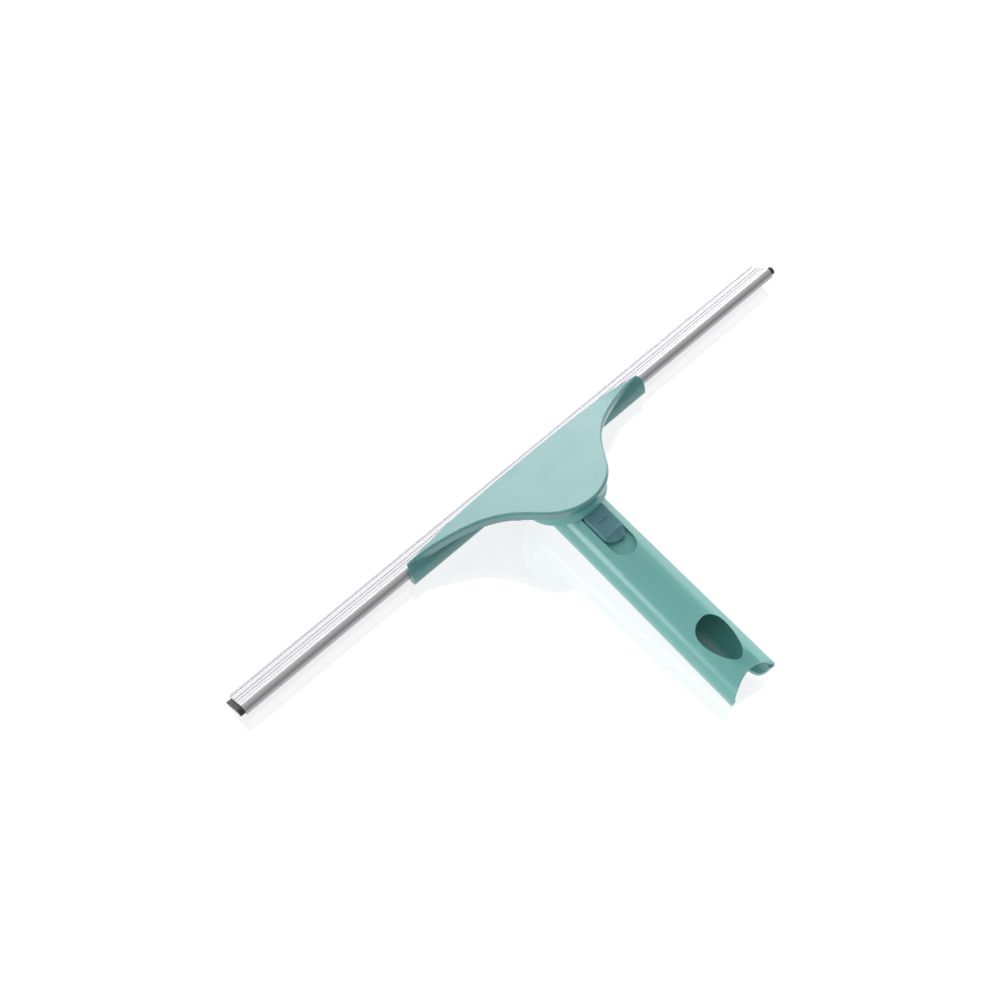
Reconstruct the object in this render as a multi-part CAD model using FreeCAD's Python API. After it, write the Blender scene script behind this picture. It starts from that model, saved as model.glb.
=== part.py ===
import FreeCAD, Part
import math
import os

# Window cleaning squeegee: a 400 mm aluminium rail with a rubber blade, held
# in the jaw of a moulded fan-shaped head that swivels on a short tube handle.
# Millimetres, +Z up, lying at rest on the floor: blade lip and handle tail
# touch z = 0, the rail runs along X, the handle points along -Y.
# The parts are drawn in a work frame whose y = 0 is the front edge of the
# aluminium strip, and moved by SHIFT_Y when they are written.

os.makedirs("parts", exist_ok=True)
V = FreeCAD.Vector

# ---------------------------------------------------------------- dimensions
RAIL_LEN = 400.0            # aluminium rail, end to end
BLADE_OVERHANG = 3.0        # rubber past each end of the rail
SHIFT_Y = 92.30             # work frame to part frame

STRIP_FRONT = (0.0, 4.8)    # front upper edge of the strip (y, z)
STRIP_ANGLE = 36.3          # slope of the strip, rising to the handle side
STRIP_T = 1.2               # strip thickness
TUBE_C = (-13.6, 11.6)      # centre of the rail's blade tube (y, z)
TUBE_RO = 3.5
TUBE_RI = 2.5
SLOT_FROM, SLOT_TO = -75.0, -15.0   # mouth of the blade tube, degrees

BULB_R = 2.44               # bulb of the rubber blade
WEB_T = 2.15                # blade thickness at the bulb
LIP_T = 0.9                 # blade thickness at the lip
LIP = (-0.9, 0.33)          # centre of the lip (y, z)

PLATE_Z0 = 26.24            # head top surface: z = Z0 - SLOPE*y - DROOP*|x/80|^3
PLATE_SLOPE = 0.45
PLATE_DROOP = 9.52
PLATE_T = 2.6               # head wall at the plate, measured vertically
RIM_T = 2.2                 # head wall at the rim
RIM_H_MID = 7.0             # rim height at the lobe, vertical
RIM_H_END = 9.2             # rim height at the wing tips, vertical
FRONT_Y = -13.4             # front edge of the head plate
HEAD_HALF = 88.0            # half length of the jaw along the rail
RIM_ROUND = 1.1

HUB_Y = -38.5               # swivel axis meets the plate's top here
HUB_R = 23.3                # round knuckle of the handle under the lobe
HUB_TOP, HUB_LOW = -8.0, -13.5      # knuckle disc, below the plate's top
STEM_R = 12.0               # swivel hub's stem
STEM_LOW = -20.8
STEM_HOLE_R = 12.5
FLOOR_TOP, FLOOR_LOW = -21.8, -24.8
PIVOT_R = 3.0
BUSH_RI = 3.06              # 0.06 mm running clearance on the pivot screw
BUSH_RO = 5.0
NOTCHES = 8
NOTCH_W = 8.6
NOTCH_D = 2.2

AXIS_Y, AXIS_Z = -70.0, 24.3        # a point on the handle's axis
AXIS_DROP = 0.0873                  # fall of the axis per mm towards the tail
GRIP_R_FRONT = 15.1
GRIP_R_TAIL = 15.85
TAIL_T = -115.2             # tail end along the axis, from the axis point
NOSE_T = 28.0               # centre of the round nose
SOCKET_R = 13.0             # pole socket
CAVITY_R = 12.0             # hollow for the lock, ahead of the socket
WEB_REAR, WEB_FRONT = -30.0, -27.6  # wall that ends the pole socket
MOUTH_R = 23.0              # fish-mouth cut in the tail
MOUTH_T = -131.4
EGG = [(0.0, -72.8), (4.8, -74.1), (7.6, -77.6), (8.4, -83.4), (7.7, -89.5), (5.7, -95.8), (3.2, -99.6), (0.0, -101.1)]
LOW_SLOT = [(0.0, -99.0), (4.4, -100.2), (7.2, -103.2), (8.6, -107.6), (9.5, -110.9), (10.6, -112.6), (12.0, -113.7), (13.8, -114.4), (16.5, -114.9)]
SCOOP_DEPTH = 2.2           # valley in the top wall between the opening and the mouth

TRACK_W = 14.6              # recess that the lock button runs in
TRACK_REAR, TRACK_FRONT = -23.6, 7.9
TRACK_FLOOR = 11.3
SLAB_LOW = 9.4
BUTTON_W = 13.6
BUTTON_REAR, BUTTON_FRONT = -14.2, 6.8
BUTTON_LOW = 11.5
TRAVEL = 7.5
BOLT_W = 8.0
BOLT_LOW, BOLT_HIGH = 6.6, 9.1
BOLT_GAP = 0.35             # bolt nose to the swivel hub's stem

# ------------------------------------------------------------------- frames
alpha = math.degrees(math.atan(PLATE_SLOPE))
beta = math.degrees(math.atan(AXIS_DROP))
HUB_P = V(0, HUB_Y, PLATE_Z0 - PLATE_SLOPE * HUB_Y)
HUB_ROT = FreeCAD.Rotation(V(1, 0, 0), -alpha)
HUB_PL = FreeCAD.Placement(HUB_P, HUB_ROT)          # x = v, y = u, z = w
GRIP_PL = FreeCAD.Placement(V(0, AXIS_Y, AXIS_Z), FreeCAD.Rotation(V(1, 0, 0), beta))


def placed(shape, pl):
    s = shape.copy()
    s.Placement = pl.multiply(s.Placement)
    return s


def hcyl(r, w0, w1, v=0.0, u=0.0):
    return placed(Part.makeCylinder(r, w1 - w0, V(v, u, w0)), HUB_PL)


def hring(r0, r1, w0, w1):
    return placed(Part.makeCylinder(r1, w1 - w0, V(0, 0, w0)).cut(
        Part.makeCylinder(r0, w1 - w0 + 2, V(0, 0, w0 - 1))), HUB_PL)


def hbox(v0, v1, u0, u1, w0, w1):
    return placed(Part.makeBox(v1 - v0, u1 - u0, w1 - w0, V(v0, u0, w0)), HUB_PL)


def gbox(x0, x1, t0, t1, h0, h1):
    return placed(Part.makeBox(x1 - x0, t1 - t0, h1 - h0, V(x0, t0, h0)), GRIP_PL)


def gcyl_up(r, x, t, h0, h1):
    return placed(Part.makeCylinder(r, h1 - h0, V(x, t, h0)), GRIP_PL)


def grevolve(pts, nose=None, hc=0.0):
    """Solid of revolution about the handle's axis, or a line hc above it; pts are (t, r)."""
    edges = []
    p = [V(0, t, hc + r) for t, r in pts]
    for a, b in zip(p[:-1], p[1:]):
        edges.append(Part.makeLine(a, b))
    if nose:
        tc, r = nose
        edges.append(Part.Arc(V(0, tc, r), V(0, tc + r * math.sin(math.pi / 4), r * math.cos(math.pi / 4)),
                              V(0, tc + r, 0)).toShape())
        edges.append(Part.makeLine(V(0, tc + r, 0), p[0]))
    else:
        edges.append(Part.makeLine(p[-1], p[0]))
    face = Part.Face(Part.Wire(edges))
    return placed(face.revolve(V(0, 0, hc), V(0, 1, 0), 360), GRIP_PL)


def poly_x(pts, x0, x1):
    """Prism along X from a (y, z) polygon."""
    p = [V(x0, y, z) for y, z in pts]
    return Part.Face(Part.makePolygon(p + [p[0]])).extrude(V(x1 - x0, 0, 0))


def xcyl(r, y, z, x0, x1):
    return Part.makeCylinder(r, x1 - x0, V(x0, y, z), V(1, 0, 0))


def fillet(shape, r, test):
    """Round the edges that pass the test, or leave them if it can't be done."""
    edges = [e for e in shape.Edges if test(e)]
    if not edges:
        return shape
    try:
        s = shape.makeFillet(r, edges)
        if s.isValid() and s.Volume > 0 and len(s.Solids) == len(shape.Solids):
            return s
    except Exception:
        pass
    return shape


parts = {}


def write(name, shape):
    shape = shape.copy()
    shape.translate(V(0, SHIFT_Y, 0))
    solids = shape.Solids
    if len(solids) == 1:
        shape = solids[0]
    else:
        shape = Part.makeCompound(solids)
    parts[name] = shape
    shape.exportStep("parts/%s.step" % name)
    b = shape.BoundBox
    print("%-18s solids %d valid %s vol %9.1f  x %.1f..%.1f y %.1f..%.1f z %.1f..%.1f" % (
        name, len(solids), shape.isValid(), shape.Volume, b.XMin, b.XMax, b.YMin, b.YMax, b.ZMin, b.ZMax))


# ------------------------------------------------------------------ the rail
sa = math.radians(STRIP_ANGLE)
along = (-math.cos(sa), math.sin(sa))       # up the strip
normal = (math.sin(sa), math.cos(sa))       # out of its upper face


def on_strip(d, h=0.0):
    return (STRIP_FRONT[0] + along[0] * d + normal[0] * h, STRIP_FRONT[1] + along[1] * d + normal[1] * h)


half = RAIL_LEN / 2
strip = poly_x([on_strip(0.25), on_strip(13.2), on_strip(13.2, -STRIP_T), on_strip(0.3, -STRIP_T), on_strip(0.0, -STRIP_T + 0.3),
                on_strip(0.0, -0.25)], -half, half)
bead = xcyl(0.8, on_strip(0.75, -0.62)[0], on_strip(0.75, -0.62)[1], -half, half)
rail = strip.fuse(bead).fuse(xcyl(TUBE_RO, TUBE_C[0], TUBE_C[1], -half, half))
rail = rail.cut(xcyl(TUBE_RI, TUBE_C[0], TUBE_C[1], -half - 1, half + 1))
mouth = [TUBE_C]
for a in (SLOT_FROM, (SLOT_FROM + SLOT_TO) / 2, SLOT_TO):
    mouth.append((TUBE_C[0] + 5 * math.cos(math.radians(a)), TUBE_C[1] + 5 * math.sin(math.radians(a))))
rail = rail.cut(poly_x(mouth, -half - 1, half + 1))
for d, wd, dp in ((2.3, 0.45, 0.3), (6.9, 0.5, 0.32), (9.7, 0.4, 0.28)):
    rail = rail.cut(poly_x([on_strip(d - wd / 2, 0.5), on_strip(d + wd / 2, 0.5), on_strip(d + wd / 2, -dp), on_strip(d - wd / 2, -dp)],
                           -half - 1, half + 1))
rail = rail.removeSplitter()
write("aluminium_rail", rail)

# ----------------------------------------------------------------- the blade
bl = half + BLADE_OVERHANG
dx, dz = LIP[0] - TUBE_C[0], LIP[1] - TUBE_C[1]
dn = math.hypot(dx, dz)
d1 = (dx / dn, dz / dn)
n1 = (-d1[1], d1[0])


def on_blade(s, h):
    return (TUBE_C[0] + d1[0] * s + n1[0] * h, TUBE_C[1] + d1[1] * s + n1[1] * h)


wedge = poly_x([on_blade(0.9, WEB_T / 2), on_blade(5.5, WEB_T / 2 * 0.94), on_blade(9.0, 0.72), on_blade(dn, LIP_T / 2),
                on_blade(dn, -LIP_T / 2), on_blade(9.0, -0.72), on_blade(5.5, -WEB_T / 2 * 0.94), on_blade(0.9, -WEB_T / 2)], -bl, bl)
blade = xcyl(BULB_R, TUBE_C[0], TUBE_C[1], -bl, bl).fuse(wedge).removeSplitter()
write("rubber_blade", blade)

# ------------------------------------------------------------ the head shell
REAR = [(0.0, -64.3), (5.0, -63.85), (9.7, -62.5), (14.2, -60.2), (18.4, -57.0), (22.2, -52.7), (25.4, -48.2), (29.4, -42.6),
        (33.0, -38.2), (36.8, -34.3), (41.0, -30.9), (46.0, -27.6), (52.0, -24.6), (58.0, -22.1), (64.0, -19.9), (70.0, -17.9),
        (76.0, -16.2), (82.0, -14.95), (HEAD_HALF, -14.4)]


def outline(inset, z0, z1):
    """Prism of the head's plan outline, inset from the rim."""
    pts = []
    full = [(-x, y) for x, y in REAR[:0:-1]] + REAR
    n = len(full)
    for i, (x, y) in enumerate(full):
        a = full[max(i - 1, 0)]
        b = full[min(i + 1, n - 1)]
        tx, ty = b[0] - a[0], b[1] - a[1]
        tl = math.hypot(tx, ty)
        pts.append(V(x - ty / tl * inset, y + tx / tl * inset, z0))
    curve = Part.BSplineCurve()
    curve.interpolate(pts)
    e = curve.toShape()
    a, b = pts[0], pts[-1]
    f = FRONT_Y if inset == 0 else FRONT_Y + 6
    w = Part.Wire([e, Part.makeLine(b, V(b.x, f, z0)), Part.makeLine(V(b.x, f, z0), V(a.x, f, z0)), Part.makeLine(V(a.x, f, z0), a)])
    return Part.Face(w).extrude(V(0, 0, z1 - z0))


def below(drop_mid, drop_end, y0=10.0, y1=-80.0):
    """Everything below the head's top surface lowered by the given amount."""
    xs = [-95 + 190 * i / 38.0 for i in range(39)]
    pts = []
    for x in xs:
        k = min(1.0, abs(x) / HEAD_HALF)
        z = PLATE_Z0 - PLATE_DROOP * (abs(x) / 80.0) ** 3 - drop_mid - (drop_end - drop_mid) * k * k
        pts.append(V(x, y0, z - PLATE_SLOPE * y0))
    c = Part.BSplineCurve()
    c.interpolate(pts)
    a, b = pts[0], pts[-1]
    lo = -60.0
    w = Part.Wire([c.toShape(), Part.makeLine(b, V(b.x, y0, lo)), Part.makeLine(V(b.x, y0, lo), V(a.x, y0, lo)), Part.makeLine(V(a.x, y0, lo), a)])
    return Part.Face(w).extrude(V(0, y1 - y0, -PLATE_SLOPE * (y1 - y0)))


prism = outline(0, -20, 90)
inner = outline(RIM_T, -20, 90)
top = below(0, 0)
under = below(PLATE_T + 0.25, PLATE_T + 0.25)
rim_low = below(RIM_H_MID, RIM_H_END)
solid_head = prism.common(top)
rounded = solid_head


def rear_top(e):
    """True for the edge between the head's top surface and its rear side."""
    ps = e.discretize(5)
    return e.Length > 60 and all(p.z > 17 for p in ps) and min(p.y for p in ps) < -50


rounded = fillet(solid_head, RIM_ROUND, rear_top)
print("rim round", rounded.Volume - solid_head.Volume)
solid_head = rounded
shell = solid_head.cut(rim_low).cut(inner.common(under))
# front wall from the plate's front edge down to the jaw
front = solid_head.common(Part.makeBox(2 * HEAD_HALF, 2.6, 60, V(-HEAD_HALF, FRONT_Y - 2.6, 15.5)))
shell = shell.fuse(front)
# jaw, wrapped round the blade tube of the rail
JAW_FRONT = [(-13.9, 6.6), (-9.9, 12.35), (-10.4, 15.0), (-12.5, 19.0)]
JAW_REAR = [(-12.5, 19.0), (-13.4, 19.25), (-14.7, 18.4), (-16.3, 17.2), (-17.9, 15.7), (-19.3, 13.8), (-20.2, 11.6), (-20.7, 9.2),
            (-20.35, 7.5), (-19.1, 6.3), (-17.0, 5.7), (-14.4, 6.0)]


def jaw_wire(x, rear, front):
    """Closed wire in the plane at x: a smooth rear side and straight front edges."""
    c = Part.BSplineCurve()
    c.interpolate([V(x, y, z) for y, z in rear])
    p = [V(x, y, z) for y, z in [rear[-1]] + front[:-1] + [rear[0]]]
    return Part.Wire([c.toShape()] + [Part.makeLine(a, b) for a, b in zip(p[:-1], p[1:])])


jaw = Part.Face(jaw_wire(-HEAD_HALF, JAW_REAR, JAW_FRONT)).extrude(V(2 * HEAD_HALF, 0, 0))
# the jaw's shoulder rises to the plate's edge at the wing tips
TIP_IN = [(-13.6, 17.6), (-15.4, 16.4), (-17.2, 14.8), (-18.6, 12.8), (-19.2, 11.0)]
TIP_OUT = [(-12.7, 19.9), (-15.5, 19.5), (-18.2, 17.2), (-19.9, 14.0), (-20.6, 10.4)]
for s_ in (-1, 1):
    wires = []
    for x, pr in ((76.0, TIP_IN), (HEAD_HALF, TIP_OUT)):
        wires.append(jaw_wire(s_ * x, pr, [(-16.5, 9.0), (-13.0, 15.4), pr[0]]))
    jaw = jaw.fuse(Part.makeLoft(wires, True, True))
clear_pts = [TUBE_C, (TUBE_C[0] + 3.58 * math.cos(math.radians(72)), TUBE_C[1] + 3.58 * math.sin(math.radians(72))),
             on_strip(12.6, 0.35), on_strip(8.0, 0.3), (6, 6), (6, -6), (-12.0, -6), (-13.2, 6.0), (-13.7, 8.0)]
shell = shell.fuse(jaw)
shell = shell.cut(xcyl(TUBE_RO + 0.08, TUBE_C[0], TUBE_C[1], -100, 100)).cut(poly_x(clear_pts, -100, 100))
# the tips' front corners are rounded in plan
for s_ in (-1, 1):
    q = [(HEAD_HALF + 0.01, -17.6), (HEAD_HALF - 0.35, -15.4), (HEAD_HALF - 1.2, -13.4), (HEAD_HALF - 2.4, -11.6), (HEAD_HALF - 3.6, -9.4)]
    c = Part.BSplineCurve()
    c.interpolate([V(s_ * x, y, 0) for x, y in q])
    a, b = V(s_ * q[0][0], q[0][1], 0), V(s_ * q[-1][0], q[-1][1], 0)
    e1, e2 = V(s_ * 95, b.y, 0), V(s_ * 95, a.y, 0)
    w = Part.Wire([c.toShape(), Part.makeLine(b, e1), Part.makeLine(e1, e2), Part.makeLine(e2, a)])
    shell = shell.cut(Part.Face(w).extrude(V(0, 0, 60)))
# pad over the swivel hub and stiffening ribs under the plate
shell = shell.fuse(hcyl(23.0, -5.2, -1.6).common(solid_head))
for s in (-1, 1):
    for x in (31.0, 47.0, 62.0):
        x0 = s * x - 0.9
        rib = Part.makeBox(1.8, 60, 80, V(x0, -70, -10)).common(solid_head).cut(below(PLATE_T + 5.2, PLATE_T + 5.2))
        shell = shell.fuse(rib)
    rib = Part.makeBox(9.0, 1.8, 60, V(-4.5 + s * 14.0, -18.6, 10)).common(solid_head).cut(below(PLATE_T + 4.0, PLATE_T + 4.0))
    shell = shell.fuse(rib)
shell = shell.removeSplitter()
# pilot holes for the hub screws, a bore for the pivot screw's tip, grub screw holes
SCREW_POS = [(17.0 * math.cos(math.radians(a)), 17.0 * math.sin(math.radians(a))) for a in (90, 210, 330)]
for v, u in SCREW_POS:
    shell = shell.cut(hcyl(1.1, -6.0, -2.0, v, u))
shell = shell.cut(hcyl(PIVOT_R, -6.0, -3.4))
for x in (-40.0, 40.0):
    shell = shell.cut(Part.makeCylinder(1.6, 8, V(x, -23.0, 11.6), V(0, 1, 0)))
write("head_shell", shell)

grub = None
for x in (-40.0, 40.0):
    g = Part.makeCylinder(1.6, 3.2, V(x, -20.3, 11.6), V(0, 1, 0))
    hx = [V(x + 0.85 * math.cos(math.radians(60 * i)), -21.0, 11.6 + 0.85 * math.sin(math.radians(60 * i))) for i in range(6)]
    g = g.cut(Part.Face(Part.makePolygon(hx + [hx[0]])).extrude(V(0, 2.2, 0)))
    grub = g if grub is None else grub.fuse(g)
write("rail_screws", grub)

# ------------------------------------------------- swivel hub and its screws
sw = hcyl(22.4, -7.4, -5.2).fuse(hcyl(STEM_R, STEM_LOW, -5.2))
sw = sw.cut(hring(6.2, 9.2, STEM_LOW - 1, -9.5))
sw = sw.cut(hcyl(PIVOT_R, STEM_LOW - 1, -4))
for i in range(NOTCHES):
    b = Part.makeBox(NOTCH_W, 4, -13.0 - (STEM_LOW - 1), V(-NOTCH_W / 2, -STEM_R - 4 + NOTCH_D, STEM_LOW - 1))
    b.rotate(V(0, 0, 0), V(0, 0, 1), 360.0 / NOTCHES * i)
    sw = sw.cut(placed(b, HUB_PL))
for v, u in SCREW_POS:
    sw = sw.cut(hcyl(1.5, -8, -5, v, u))
    sw = sw.cut(placed(Part.makeCone(2.7, 1.5, 1.3, V(v, u, -7.45)), HUB_PL))
write("swivel_hub", sw)

hs = None
for v, u in SCREW_POS:
    s = hcyl(1.1, -6.3, -2.05, v, u).fuse(placed(Part.makeCone(2.6, 1.1, 1.25, V(v, u, -7.38)), HUB_PL))
    s = s.cut(placed(Part.makeBox(2.6, 0.6, 0.6, V(v - 1.3, u - 0.3, -7.5)), HUB_PL)).cut(
        placed(Part.makeBox(0.6, 2.6, 0.6, V(v - 0.3, u - 1.3, -7.5)), HUB_PL))
    hs = s if hs is None else hs.fuse(s)
write("hub_screws", hs)

# -------------------------------------------------------- pivot screw stack
ps = hcyl(PIVOT_R, -27.2, -3.5).fuse(hcyl(5.5, -29.9, -26.9))
ps = ps.cut(hbox(-3.2, 3.2, -0.6, 0.6, -30.2, -28.4)).cut(hbox(-0.6, 0.6, -3.2, 3.2, -30.2, -28.4))
write("pivot_screw", ps)
write("pivot_washer", hring(PIVOT_R + 0.02, 6.6, -26.85, -26.05))
write("pivot_bush", hring(BUSH_RI, BUSH_RO, -25.0, -21.5).fuse(hring(BUSH_RI, 6.8, -25.8, -24.85)).removeSplitter())
write("wave_washer", hring(6.2, 9.2, -21.75, -21.15))
write("glide_ring", hring(13.6, 21.6, -8.55, -7.6))

# ---------------------------------------------------------------- the handle
outer = grevolve([(TAIL_T, 0), (TAIL_T, GRIP_R_TAIL), (0, GRIP_R_FRONT), (NOSE_T, GRIP_R_FRONT)], nose=(NOSE_T, GRIP_R_FRONT))
socket = grevolve([(TAIL_T - 5, 0), (TAIL_T - 5, SOCKET_R), (WEB_REAR, SOCKET_R), (WEB_REAR, 0)])
cavity = grevolve([(WEB_FRONT, 0), (WEB_FRONT, CAVITY_R), (NOSE_T, CAVITY_R)], nose=(NOSE_T, CAVITY_R))
grip = outer.cut(socket).cut(cavity)
slab = gbox(-11, 11, WEB_FRONT - 0.5, 9.0, SLAB_LOW, 14.0).common(outer)
grip = grip.fuse(slab)
# track of the lock button, open on top, closed by a round end at the rear
rt = TRACK_W / 2
track = gbox(-rt, rt, TRACK_REAR + rt, TRACK_FRONT, TRACK_FLOOR, 22).fuse(gcyl_up(rt, 0, TRACK_REAR + rt, TRACK_FLOOR, 22))
grip = grip.cut(track)
grip = grip.cut(gbox(-3.2, 3.2, -12.4, 3.8, SLAB_LOW - 1, TRACK_FLOOR + 1))
# round knuckle under the head's lobe, with a tapered neck down to the tube
disc = hcyl(HUB_R, HUB_LOW, HUB_TOP)
disc = fillet(disc, 2.4, lambda e: e.Closed and e.BoundBox.ZMin < HUB_P.z - 23.0 and e.Length > 100 and e.CenterOfMass.z < HUB_P.z - 11.0)
neck = placed(Part.makeCone(14.2, 19.6, 8.6, V(0, 0, -21.9)), HUB_PL)
neck = neck.cut(gbox(-25, 25, -30, 9.6, -30, 60)).cut(track)
knuckle = disc.fuse(neck)
knuckle = knuckle.cut(hcyl(STEM_HOLE_R, -21.85, -5)).cut(cavity)
floor = hbox(-14, 14, -15.2, 24, FLOOR_LOW, FLOOR_TOP).common(outer)
grip = grip.cut(hcyl(STEM_HOLE_R, FLOOR_TOP, -2)).fuse(knuckle).fuse(floor)
# nothing of the tube stands above the knuckle's face
grip = grip.cut(hbox(-30, 30, -23.5, 40, HUB_TOP, 30))
grip = grip.cut(hring(13.5, 21.7, -8.6, -7.0))
grip = grip.cut(hcyl(BUSH_RO, FLOOR_LOW - 1, FLOOR_TOP + 0.3))
grip = grip.cut(hcyl(7.2, -44, -30.5)).cut(hcyl(7.2, -31, FLOOR_LOW - 1.05))
# egg-shaped opening on top of the tail
wires = []
for h, k in ((4.0, 1.36), (15.4, 1.0), (24.0, 0.8)):
    pts = []
    for x, t in EGG + [(-x, t) for x, t in EGG[-2:0:-1]]:
        c = -86.0
        pts.append(V(x * k, c + (t - c) * (1 + (k - 1) * 0.5), h))
    ec = Part.BSplineCurve()
    ec.interpolate(pts, PeriodicFlag=True)
    wires.append(Part.Wire([ec.toShape()]))
egg = placed(Part.makeLoft(wires, True, False), GRIP_PL)
print("egg", egg.isValid(), egg.Volume)
grip = grip.cut(egg)
# fish-mouth tail, cut back further below
grip = grip.cut(gcyl_up(MOUTH_R, 0, MOUTH_T, 0, 30))
pts = [V(-x, t, 0) for x, t in LOW_SLOT[:0:-1]] + [V(x, t, 0) for x, t in LOW_SLOT]
lc = Part.BSplineCurve()
lc.interpolate(pts)
a, b = pts[0], pts[-1]
w = Part.Wire([lc.toShape(), Part.makeLine(b, V(b.x, -122, 0)), Part.makeLine(V(b.x, -122, 0), V(a.x, -122, 0)), Part.makeLine(V(a.x, -122, 0), a)])
grip = grip.cut(placed(Part.Face(w).extrude(V(0, 0, -25)), GRIP_PL))
# valley that runs down from the egg-shaped opening into the mouth
rows = []
for i in range(9):
    t = -93.0 - 3.2 * i
    k = max(0.0, min(1.0, (-95.0 - t) / 13.0))
    d = SCOOP_DEPTH * k * k * (3 - 2 * k)
    row = []
    for j in range(17):
        x = -7.6 + 0.95 * j
        bell = 0.5 + 0.5 * math.cos(math.pi * x / 7.6)
        r = GRIP_R_FRONT + (GRIP_R_TAIL - GRIP_R_FRONT) * t / TAIL_T
        row.append(V(x, t, math.sqrt(r * r - x * x) + 0.15 - (d + 0.15 * k) * bell))
    rows.append(row)
sc = Part.BSplineSurface()
sc.interpolate(rows)
scoop = placed(sc.toShape().extrude(V(0, 0, 12)), GRIP_PL)
grip2 = grip.cut(scoop)
if grip2.isValid() and len(grip2.Solids) == 1 and grip2.Volume < grip.Volume:
    grip = grip2
    print("scoop ok")
# holes for the guide's screws
for x in (-8.6, 8.6):
    grip = grip.cut(gcyl_up(1.0, x, -20.0, 6.8, 11.6))
grip = grip.removeSplitter()
write("handle_grip", grip)

cap = outer.common(hcyl(7.1, -44, -30.5)).cut(grevolve([(-10, 0), (-10, 13.0), (NOSE_T, 13.0)], nose=(NOSE_T, 13.0)))
write("pivot_cap", cap)

# ------------------------------------------------------------- lock mechanism
guide = gbox(-9.6, 9.6, -27.2, -6.0, 1.4, 9.3)
guide = guide.cut(gbox(-BOLT_W / 2 - 0.35, BOLT_W / 2 + 0.35, -30, 0, 6.3, 12))
guide = guide.cut(gbox(-3.0, 3.0, -25.0, -8.0, 4.2, 7.0))
for x in (-8.6, 8.6):
    guide = guide.cut(gcyl_up(1.2, x, -20.0, 0, 12)).cut(gcyl_up(2.3, x, -20.0, 0, 3.2))
guide = guide.common(grevolve([(-29, 0), (-29, 11.9), (0, 11.9), (0, 0)]))
write("lock_guide", guide)
gs = None
for x in (-8.6, 8.6):
    s = gcyl_up(1.0, x, -20.0, 3.0, 11.4).fuse(gcyl_up(2.2, x, -20.0, 1.6, 3.15))
    s = s.cut(gbox(x - 1.3, x + 1.3, -20.3, -19.7, 1.0, 2.2)).cut(gbox(x - 0.3, x + 0.3, -21.3, -18.7, 1.0, 2.2))
    gs = s if gs is None else gs.fuse(s)
write("guide_screws", gs)
# leaf spring with a raised bump, lying in the guide's pocket
sp = [(-24.8, 4.25), (-8.2, 4.25), (-8.2, 4.75), (-14.2, 4.75), (-15.6, 6.45), (-17.4, 6.45), (-18.8, 4.75), (-24.8, 4.75)]
f = Part.Face(Part.makePolygon([V(-2.5, t, h) for t, h in sp] + [V(-2.5, sp[0][0], sp[0][1])]))
leaf = f.extrude(V(5, 0, 0)).cut(Part.Face(Part.makePolygon([V(-3, t, h) for t, h in ((-14.7, 4.2), (-15.85, 5.9), (-17.15, 5.9), (-18.3, 4.2), (-14.7, 4.2))])).extrude(V(6, 0, 0)))
write("detent_spring", placed(leaf, GRIP_PL))

# bolt: a flat bar under the track, nose cut round to face the stem
stem_face = hcyl(STEM_R + BOLT_GAP, -40, 5)
bolt = gbox(-BOLT_W / 2, BOLT_W / 2, -18.5, 22.0, BOLT_LOW, BOLT_HIGH).cut(stem_face).cut(gbox(-10, 10, 17.0, 40, -20, 30))
bolt = bolt.cut(hbox(-20, 20, -5, 40, -40, 10))
bolt = bolt.cut(gbox(-2.4, 2.4, -4.0, 2.6, BOLT_LOW + 0.9, BOLT_HIGH + 1))
for t in (-16.5,):
    for dt in (0.0, TRAVEL):
        bolt = bolt.cut(gbox(-2.8, 2.8, t + dt - 1.2, t + dt + 1.2, BOLT_LOW - 1, BOLT_LOW + 0.45))
bolt = max(bolt.Solids, key=lambda s: s.Volume)
write("lock_bolt", bolt)

# button: barrel-topped slide with a cross ridge, a scooped round tail and a small tab
bw = BUTTON_W / 2
plan = gbox(-bw, bw, BUTTON_REAR + bw - 1.2, BUTTON_FRONT, BUTTON_LOW, 20).fuse(
    gcyl_up(bw, 0, BUTTON_REAR + bw, BUTTON_LOW, 20).common(gbox(-bw, bw, BUTTON_REAR - 1, BUTTON_REAR + bw, BUTTON_LOW, 20)))
crown = grevolve([(-30, 0), (-30, 40.4), (BUTTON_REAR, 40.7), (-10.8, 41.4), (-9.7, 42.25), (-9.0, 42.5), (-8.3, 42.3), (-7.4, 42.05), (1.5, 41.95), (12, 41.2), (12, 0)], hc=-25.0)
btn = plan.common(crown)
btn = btn.cut(placed(Part.makeSphere(11.5, V(0, -16.4, 26.4)), GRIP_PL))
for s_ in (-1, 1):
    q = [(bw - 0.75, 20), (bw - 0.75, 16.62), (bw - 0.28, 16.3), (bw + 0.02, 15.7), (bw + 1, 15.7), (bw + 1, 20)]
    q = [V(s_ * x, -20, h) for x, h in q]
    btn = btn.cut(placed(Part.Face(Part.makePolygon(q + [q[0]])).extrude(V(0, 32, 0)), GRIP_PL))
btn = btn.cut(gbox(-3.4, 2.6, -1.1, -0.65, 16.45, 18))
btn = btn.fuse(gbox(1.0, 3.5, BUTTON_REAR - 0.6, BUTTON_REAR + 2.4, BUTTON_LOW + 0.1, BUTTON_LOW + 1.3))
btn = btn.fuse(gbox(-2.9, 2.9, -4.8, 3.4, BOLT_HIGH + 0.02, BUTTON_LOW + 0.2)).fuse(gbox(-2.3, 2.3, -3.9, 2.5, BOLT_LOW + 0.95, BOLT_HIGH + 0.1))
btn = btn.cut(hcyl(HUB_R + 0.4, -16.0, 10))
btn = btn.removeSplitter()
write("lock_button", btn)

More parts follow.
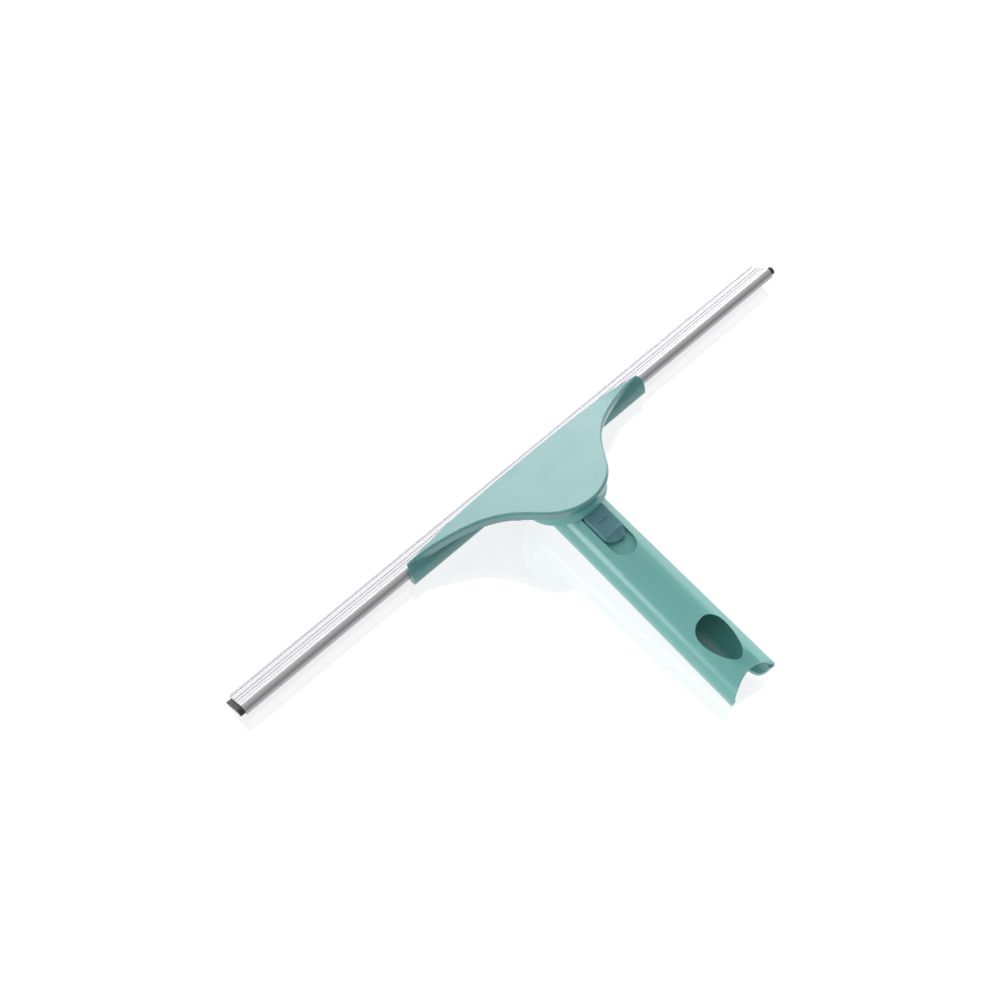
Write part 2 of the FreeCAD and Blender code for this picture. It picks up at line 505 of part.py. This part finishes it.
# ----------------------------------------------------------------- overall
b = Part.makeCompound(list(parts.values())).BoundBox
print("overall x %.2f..%.2f y %.2f..%.2f (centre %.3f) z %.2f..%.2f" % (b.XMin, b.XMax, b.YMin, b.YMax, (b.YMin + b.YMax) / 2, b.ZMin, b.ZMax))
print("hub point (row frame, mm)", HUB_P + V(0, SHIFT_Y, 0), "axis", HUB_ROT.multVec(V(0, 0, 1)))
print("grip axis towards tail", GRIP_PL.Rotation.multVec(V(0, -1, 0)))
for t in (-50.0,):
    print("socket point", GRIP_PL.multVec(V(0, t, 0)) + V(0, SHIFT_Y, 0))
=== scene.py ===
import bpy, bmesh, math, random
from mathutils import Vector, Matrix

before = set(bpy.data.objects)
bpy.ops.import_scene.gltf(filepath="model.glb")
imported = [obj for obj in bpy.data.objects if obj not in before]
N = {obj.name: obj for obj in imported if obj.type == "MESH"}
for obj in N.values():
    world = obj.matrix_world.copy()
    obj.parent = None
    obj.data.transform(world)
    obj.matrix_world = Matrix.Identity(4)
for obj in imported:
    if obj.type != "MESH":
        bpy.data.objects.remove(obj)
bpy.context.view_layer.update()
random.seed(7)
sc = bpy.context.scene
sc.view_settings.view_transform = "Standard"
sc.view_settings.look = "None"
sc.view_settings.exposure = 0.0
sc.view_settings.gamma = 1.0


def srgb(r, g, b):
    f = lambda c: (c / 255.0) / 12.92 if c <= 10 else (((c / 255.0) + 0.055) / 1.055) ** 2.4
    return (f(r), f(g), f(b), 1.0)


# ------------------------------------------------------------------- camera
cd = bpy.data.cameras.new("camera")
cam = bpy.data.objects.new("camera", cd)
sc.collection.objects.link(cam)
sc.camera = cam
cd.sensor_width = 36.0
cd.lens = 52.94
cd.clip_start, cd.clip_end = 0.05, 20
eye = Vector((-0.27366, -0.19454, 0.73164))
fwd = Vector((0.31178, 0.33498, -0.88915)).normalized()
right = fwd.cross(Vector((0, 0, 1))).normalized()
up = right.cross(fwd)
roll = -0.0023
r2 = right * math.cos(roll) + up * math.sin(roll)
u2 = up * math.cos(roll) - right * math.sin(roll)
cam.matrix_world = Matrix(((r2.x, u2.x, -fwd.x, eye.x), (r2.y, u2.y, -fwd.y, eye.y), (r2.z, u2.z, -fwd.z, eye.z), (0, 0, 0, 1)))

# ---------------------------------------------------------------- materials


class Mat:
    def __init__(self, name):
        self.m = bpy.data.materials.new(name)
        self.m.use_nodes = True
        self.t = self.m.node_tree
        self.b = self.t.nodes["Principled BSDF"]
        self.tc = self.n("ShaderNodeTexCoord").outputs["Object"]

    def n(self, kind, **kw):
        nd = self.t.nodes.new(kind)
        for k, v in kw.items():
            setattr(nd, k, v)
        return nd

    def l(self, a, b):
        self.t.links.new(a, b)

    def noise(self, scale, detail=3.0, rough=0.55, stretch=None, dist=0.0):
        nz = self.n("ShaderNodeTexNoise")
        nz.inputs["Scale"].default_value = scale
        nz.inputs["Detail"].default_value = detail
        nz.inputs["Roughness"].default_value = rough
        nz.inputs["Distortion"].default_value = dist
        if stretch:
            mp = self.n("ShaderNodeMapping")
            mp.inputs["Scale"].default_value = stretch
            self.l(self.tc, mp.inputs["Vector"])
            self.l(mp.outputs["Vector"], nz.inputs["Vector"])
        else:
            self.l(self.tc, nz.inputs["Vector"])
        return nz.outputs["Fac"]

    def remap(self, fac, lo, hi, a=0.3, b=0.7):
        r = self.n("ShaderNodeMapRange")
        r.inputs["From Min"].default_value = a
        r.inputs["From Max"].default_value = b
        r.inputs["To Min"].default_value = lo
        r.inputs["To Max"].default_value = hi
        self.l(fac, r.inputs["Value"])
        return r.outputs["Result"]

    def ramp(self, fac, c0, c1, p0=0.35, p1=0.65):
        r = self.n("ShaderNodeValToRGB")
        r.color_ramp.elements[0].position, r.color_ramp.elements[0].color = p0, c0
        r.color_ramp.elements[1].position, r.color_ramp.elements[1].color = p1, c1
        self.l(fac, r.inputs["Fac"])
        return r.outputs["Color"]

    def bump(self, height, strength, dist, prev=None):
        bp = self.n("ShaderNodeBump")
        bp.inputs["Strength"].default_value = strength
        bp.inputs["Distance"].default_value = dist
        self.l(height, bp.inputs["Height"])
        if prev is not None:
            self.l(prev, bp.inputs["Normal"])
        return bp.outputs["Normal"]


def scaled(c, k):
    return (c[0] * k, c[1] * k, c[2] * k, 1.0)


def plastic(name, col, rough=0.27, var=0.03, grain=0.05, spec=0.5):
    """Injection-moulded plastic: faint flow clouds, fine grain, uneven gloss."""
    m = Mat(name)
    big = m.noise(14.0, 2.0)
    m.l(m.ramp(big, scaled(col, 1 - var), scaled(col, 1 + var), 0.3, 0.7), m.b.inputs["Base Color"])
    fine = m.noise(1400.0, 2.0, 0.6)
    mid = m.noise(70.0, 3.0, 0.5)
    m.l(m.remap(mid, rough - 0.03, rough + 0.04), m.b.inputs["Roughness"])
    nrm = m.bump(fine, grain, 0.00012)
    nrm = m.bump(mid, grain, 0.0004, nrm)
    m.l(nrm, m.b.inputs["Normal"])
    m.b.inputs["Specular IOR Level"].default_value = spec
    return m.m


def metal(name, col, rough=0.3, stretch=(2.0, 260.0, 260.0), line=0.05, var=0.03):
    """Drawn or rolled metal: long fine streaks along X, slightly uneven sheen."""
    m = Mat(name)
    m.b.inputs["Metallic"].default_value = 1.0
    streak = m.noise(1.0, 2.0, 0.5, stretch)
    cloud = m.noise(9.0, 2.0, 0.5)
    m.l(m.ramp(streak, scaled(col, 1 - var), scaled(col, 1.0), 0.35, 0.65), m.b.inputs["Base Color"])
    m.l(m.remap(cloud, rough - 0.03, rough + 0.04), m.b.inputs["Roughness"])
    m.l(m.bump(streak, line, 0.00006), m.b.inputs["Normal"])
    return m.m


def rubber(name, col):
    m = Mat(name)
    big = m.noise(60.0, 3.0)
    m.l(m.ramp(big, scaled(col, 0.85), scaled(col, 1.2), 0.3, 0.7), m.b.inputs["Base Color"])
    m.l(m.remap(big, 0.5, 0.62), m.b.inputs["Roughness"])
    m.l(m.bump(m.noise(700.0, 3.0, 0.6, (0.4, 1.0, 1.0)), 0.12, 0.0002), m.b.inputs["Normal"])
    m.b.inputs["Specular IOR Level"].default_value = 0.4
    return m.m


HEAD = plastic("head_plastic", srgb(80, 140, 140), rough=0.24, spec=0.8)
GRIP = plastic("grip_plastic", srgb(103, 170, 165), rough=0.23, spec=0.6)
BUTTON = plastic("button_plastic", srgb(77, 127, 135), rough=0.40, grain=0.1)
WHITE = plastic("acetal", srgb(216, 216, 210), rough=0.4)
ALU = metal("aluminium", srgb(178, 178, 181), 0.38, (0.8, 70.0, 70.0), 0.006)
STEEL = metal("zinc_steel", srgb(196, 196, 198), 0.32, (200.0, 200.0, 900.0), 0.06)
RUBBER = rubber("blade_rubber", srgb(52, 52, 54))

finish_of = {"head_shell": HEAD, "swivel_hub": HEAD, "handle_grip": GRIP, "pivot_cap": GRIP, "lock_button": BUTTON,
             "lock_bolt": WHITE, "lock_guide": WHITE, "glide_ring": WHITE, "pivot_bush": WHITE, "aluminium_rail": ALU,
             "rubber_blade": RUBBER}
for n, o in N.items():
    m = finish_of.get(n, STEEL)
    o.data.materials.clear()
    o.data.materials.append(m)
    for p in o.data.polygons:
        p.material_index = 0

# -------------------------------------------------------------------- stage
me = bpy.data.meshes.new("floor")
S = 6.0
me.from_pydata([(-S, -S, 0), (S, -S, 0), (S, S, 0), (-S, S, 0)], [], [(0, 1, 2, 3)])
floor = bpy.data.objects.new("floor", me)
floor.location.z = -0.0002
sc.collection.objects.link(floor)
fm = Mat("floor")
fm.b.inputs["Base Color"].default_value = (0.16, 0.16, 0.162, 1)
fm.b.inputs["Roughness"].default_value = 0.05
fm.b.inputs["IOR"].default_value = 2.3
fm.b.inputs["Specular IOR Level"].default_value = 0.5
fm.b.inputs["Emission Color"].default_value = (1, 1, 1, 1)
fm.b.inputs["Emission Strength"].default_value = 0.81
me.materials.append(fm.m)

# ------------------------------------------------------------------- lights
w = bpy.data.worlds.new("studio")
sc.world = w
w.use_nodes = True
wt = w.node_tree
bg = wt.nodes["Background"]
gen = wt.nodes.new("ShaderNodeTexCoord").outputs["Generated"]
sx = wt.nodes.new("ShaderNodeSeparateXYZ")
wt.links.new(gen, sx.inputs[0])


def step(sock, a, b, lo=0.0, hi=1.0):
    """Smooth step of a socket from lo at a to hi at b."""
    mr = wt.nodes.new("ShaderNodeMapRange")
    mr.interpolation_type = "SMOOTHSTEP"
    mr.inputs["From Min"].default_value, mr.inputs["From Max"].default_value = a, b
    mr.inputs["To Min"].default_value, mr.inputs["To Max"].default_value = lo, hi
    wt.links.new(sock, mr.inputs["Value"])
    return mr.outputs["Result"]


def math2(op, a, b):
    m = wt.nodes.new("ShaderNodeMath")
    m.operation = op
    for i, v in enumerate((a, b)):
        if isinstance(v, (int, float)):
            m.inputs[i].default_value = v
        else:
            wt.links.new(v, m.inputs[i])
    return m.outputs[0]


def along(d):
    """Cosine of the angle between a direction and d."""
    v = Vector(d).normalized()
    n = wt.nodes.new("ShaderNodeVectorMath")
    n.operation = "DOT_PRODUCT"
    n.inputs[1].default_value = tuple(v)
    wt.links.new(gen, n.inputs[0])
    return n.outputs["Value"]


def box(d, up_lo, up_hi, half_deg, soft_deg, amount):
    """Panel centred on the azimuth of d, between two heights, with soft edges."""
    flat = Vector((d[0], d[1], 0)).normalized()
    c = along(flat)
    m = step(c, math.cos(math.radians(half_deg + soft_deg)), math.cos(math.radians(half_deg)))
    z1 = step(sx.outputs["Z"], up_lo - 0.06, up_lo + 0.02)
    z2 = step(sx.outputs["Z"], up_hi - 0.04, up_hi + 0.12, 1.0, 0.0)
    return math2("MULTIPLY", math2("MULTIPLY", m, math2("MULTIPLY", z1, z2)), amount)


base = step(sx.outputs["Z"], 0.35, 0.95, 0.78, 0.86)
base = math2("MULTIPLY", base, step(sx.outputs["Y"], -0.95, 0.1, 0.50, 1.0))
light = math2("ADD", base, box((0.33, 0.94), 0.16, 0.44, 30, 16, 3.7))
light = math2("ADD", light, box((-0.94, 0.34), 0.02, 0.26, 9, 8, 8.0))
light = math2("ADD", light, box((0.94, 0.34), 0.04, 0.26, 14, 16, 1.4))
light = math2("ADD", light, box((0.88, 0.46), 0.10, 0.74, 20, 24, 0.8))
wt.links.new(light, bg.inputs["Color"])
bg.inputs["Strength"].default_value = 1.0


def area(name, loc, target, size, power, size_y=None):
    ld = bpy.data.lights.new(name, "AREA")
    ld.shape = "RECTANGLE"
    ld.size = size
    ld.size_y = size_y or size
    ld.energy = power
    lo = bpy.data.objects.new(name, ld)
    sc.collection.objects.link(lo)
    lo.location = loc
    lo.rotation_mode = "QUATERNION"
    lo.rotation_quaternion = (Vector(target) - Vector(loc)).to_track_quat("-Z", "Y")
    return lo


area("key", (-1.1, 0.9, 1.6), (0, 0, 0), 1.2, 2)
